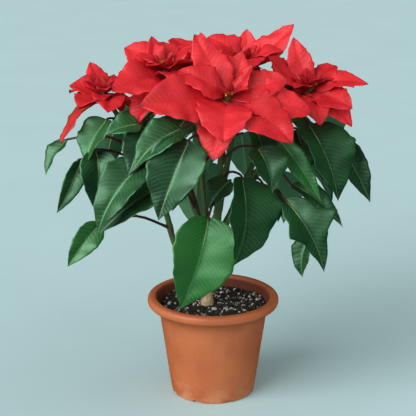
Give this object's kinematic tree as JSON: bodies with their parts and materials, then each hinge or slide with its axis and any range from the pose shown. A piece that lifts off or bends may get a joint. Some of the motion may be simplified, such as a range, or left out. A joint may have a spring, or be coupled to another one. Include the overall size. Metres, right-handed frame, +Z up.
{
  "type": "potted poinsettia",
  "caption": "Poinsettia in a round flower pot: a bushy plant with drooping green leaves under broad rosettes of red bracts.",
  "frame": {"origin": "on the ground under the middle of the pot's base", "axes": "+Z up along the pot's axis, -Y towards the plant's front, +X to the right seen from the front"},
  "size_m": [0.3851, 0.3298, 0.4505],
  "materials": {
    "pot": "moulded matt",
    "soil": "crumbly peat mix",
    "stem": "rough young bark",
    "leaves": "satin leaf",
    "bracts": "velvety bract",
    "flowers": "waxy flower"
  },
  "bodies": {
    "root": {"flower_pot": "pot", "potting_soil": "soil", "main_stem": "stem", "leafy_branch_1": "leaves", "bract_rosette_1": "bracts", "flower_cluster_1": "flowers", "leafy_branch_2": "leaves", "bract_rosette_2": "bracts", "flower_cluster_2": "flowers", "leafy_branch_3": "leaves", "bract_rosette_3": "bracts", "flower_cluster_3": "flowers", "leafy_branch_4": "leaves", "bract_rosette_4": "bracts", "flower_cluster_4": "flowers", "leafy_branch_5": "leaves", "bract_rosette_5": "bracts", "flower_cluster_5": "flowers", "leafy_branch_6": "leaves", "bract_rosette_6": "bracts", "flower_cluster_6": "flowers", "leafy_branch_7": "leaves", "bract_rosette_7": "bracts", "flower_cluster_7": "flowers"}
  },
  "joints": []
}
